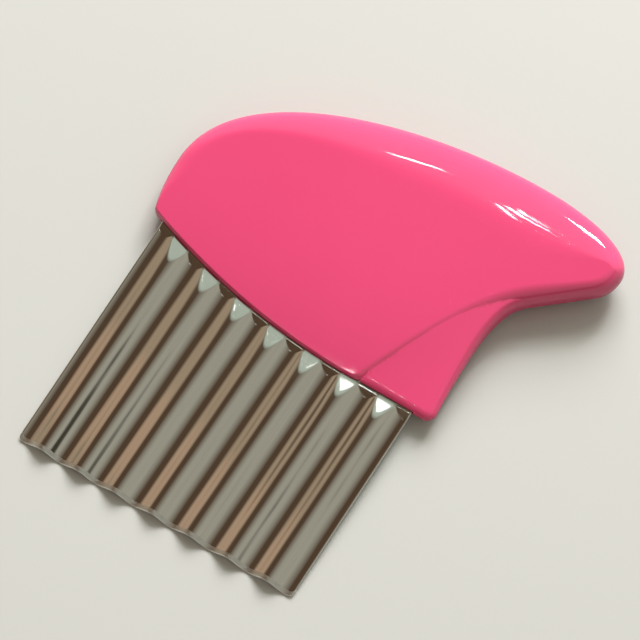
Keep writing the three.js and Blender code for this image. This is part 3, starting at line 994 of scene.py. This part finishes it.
def soft_box(name, aim, direction, distance, size, turn, glow, grid=180, tint=(1, 1, 1), mirrored=True):
    """Lamp that faces a point, with a grid that narrows it; glow sets how bright a mirror shows it."""
    lamp = bpy.data.lights.new(name, "AREA")
    lamp.shape = "RECTANGLE"
    lamp.size, lamp.size_y = size
    lamp.spread = math.radians(grid)
    cone = lamp.spread / 2
    lamp.energy = 4 * size[0] * size[1] * glow * (1 - cone / math.tan(cone))
    lamp.color = tint
    made = bpy.data.objects.new(name, lamp)
    made.location = Vector(aim) * MM + Vector(direction).normalized() * distance
    faced = Vector(direction).to_track_quat("Z", "Y").to_matrix()
    made.rotation_euler = (faced @ Matrix.Rotation(math.radians(turn), 3, "Z")).to_euler()
    made.visible_camera = False
    made.visible_glossy = mirrored
    bpy.context.scene.collection.objects.link(made)


# Lamps: name, point faced in mm, direction, distance and size in m, turn in degrees, glow, grid in degrees
KEY_LAMP = ("key_back", (0, 0, 0), (-0.25, 0.8, 0.52), 2, (1.43, 1.14), 0, 8.7)
CARD_LAMP = ("card_left", (-22, -48, 1), (-0.841, 0.29, 0.457), 0.25, (0.026, 0.1), 0, 0.09)
GLINTS = [
    ("glint_back", (-3.3, 45.7, 10.5), (-0.221, 0.517, 0.827), 0.5, (0.052, 0.008), 32, 60, 7),
    ("glint_fin_1", (20, 46.4, 10.35), (-0.132, 0.409, 0.903), 0.5, (0.004, 0.036), 8, 40, 7),
    ("glint_fin_2", (22.5, 47.3, 10.25), (-0.130, 0.453, 0.882), 0.5, (0.005, 0.020), 24, 70, 7),
    ("glint_fin_3", (24.8, 48, 10.15), (-0.130, 0.491, 0.861), 0.5, (0.003, 0.020), 0, 70, 7),
    ("glint_tip", (39, 52, 9.1), (-0.070, 0.837, 0.542), 0.5, (0.1, 0.018), 56, 60, 180),
    ("glint_facets", (15.5, -6, 2), (-0.188, 0.575, 0.796), 0.2, (0.0175, 0.03), 0, 1.9, 16),
    ("glint_bevel", (-10, -85, 2), (-0.189, -0.056, 0.980), 0.5, (0.15, 0.05), 0, 2.5, 16),
    ("glint_lip_1", (9.7, -4.6, 4.5), (-0.16, -0.06, 0.985), 0.5, (0.002, 0.03), 0, 45, 16),
    ("glint_lip_2", (12.7, -4.6, 4.5), (-0.16, -0.06, 0.985), 0.5, (0.002, 0.03), 0, 45, 16),
]


class CUTTER_OT_stage(bpy.types.Operator):
    """Makes the floor, the light and the camera"""

    bl_idname = "cutter.stage"
    bl_label = "Stage"

    def execute(self, context):
        scene, stage = context.scene, context.scene.cutter_stage
        bm = bmesh.new()
        bmesh.ops.create_grid(bm, x_segments=1, y_segments=1, size=FLOOR_SIZE / 2)
        floor = new_object(bm, "floor")
        floor.data.materials.append(floor_paper(stage))

        scene.world = studio_room(stage)
        soft_box(*KEY_LAMP, mirrored=False)
        soft_box(*CARD_LAMP, tint=stage.card)
        for glint in GLINTS:
            soft_box(*glint)

        camera = bpy.data.objects.new("camera", bpy.data.cameras.new("camera"))
        camera.data.sensor_width = SENSOR
        camera.data.lens = SENSOR * stage.distance / stage.span
        turn = Matrix.Rotation(stage.azimuth, 4, "Z") @ Matrix.Rotation(math.pi / 2 - stage.elevation, 4, "X")
        aim = Matrix.Translation((*stage.aim, 0))
        camera.matrix_world = blade_plane() @ aim @ turn @ Matrix.Translation((0, 0, stage.distance))
        scene.collection.objects.link(camera)
        scene.camera = camera
        scene.view_settings.view_transform = "Standard"
        return {"FINISHED"}


class CUTTER_PT_panel(bpy.types.Panel):
    """Settings and steps of the crinkle cutter"""

    bl_idname = "CUTTER_PT_panel"
    bl_label = "Crinkle cutter"
    bl_space_type = "VIEW_3D"
    bl_region_type = "UI"
    bl_category = "Crinkle cutter"

    def draw(self, context):
        for key, group in GROUPS.items():
            box = self.layout.box()
            box.label(text=group.__doc__)
            for name in group.__annotations__:
                box.prop(getattr(context.scene, key), name)
        for operator in (CUTTER_OT_blade, CUTTER_OT_shells, CUTTER_OT_stage):
            self.layout.operator(operator.bl_idname)


CLASSES = (*GROUPS.values(), CUTTER_OT_blade, CUTTER_OT_shells, CUTTER_OT_stage, CUTTER_PT_panel)


def register():
    """Registers the classes and adds the settings to the scene."""
    for made in CLASSES:
        bpy.utils.register_class(made)
    for key, group in GROUPS.items():
        setattr(bpy.types.Scene, key, PointerProperty(type=group))


def unregister():
    """Takes the settings and the classes away again."""
    for key in GROUPS:
        delattr(bpy.types.Scene, key)
    for made in reversed(CLASSES):
        bpy.utils.unregister_class(made)


def main():
    """Builds the cutter and its stage."""
    register()
    bpy.ops.cutter.blade()
    bpy.ops.cutter.shells()
    bpy.ops.cutter.stage()


if __name__ == "__main__":
    main()
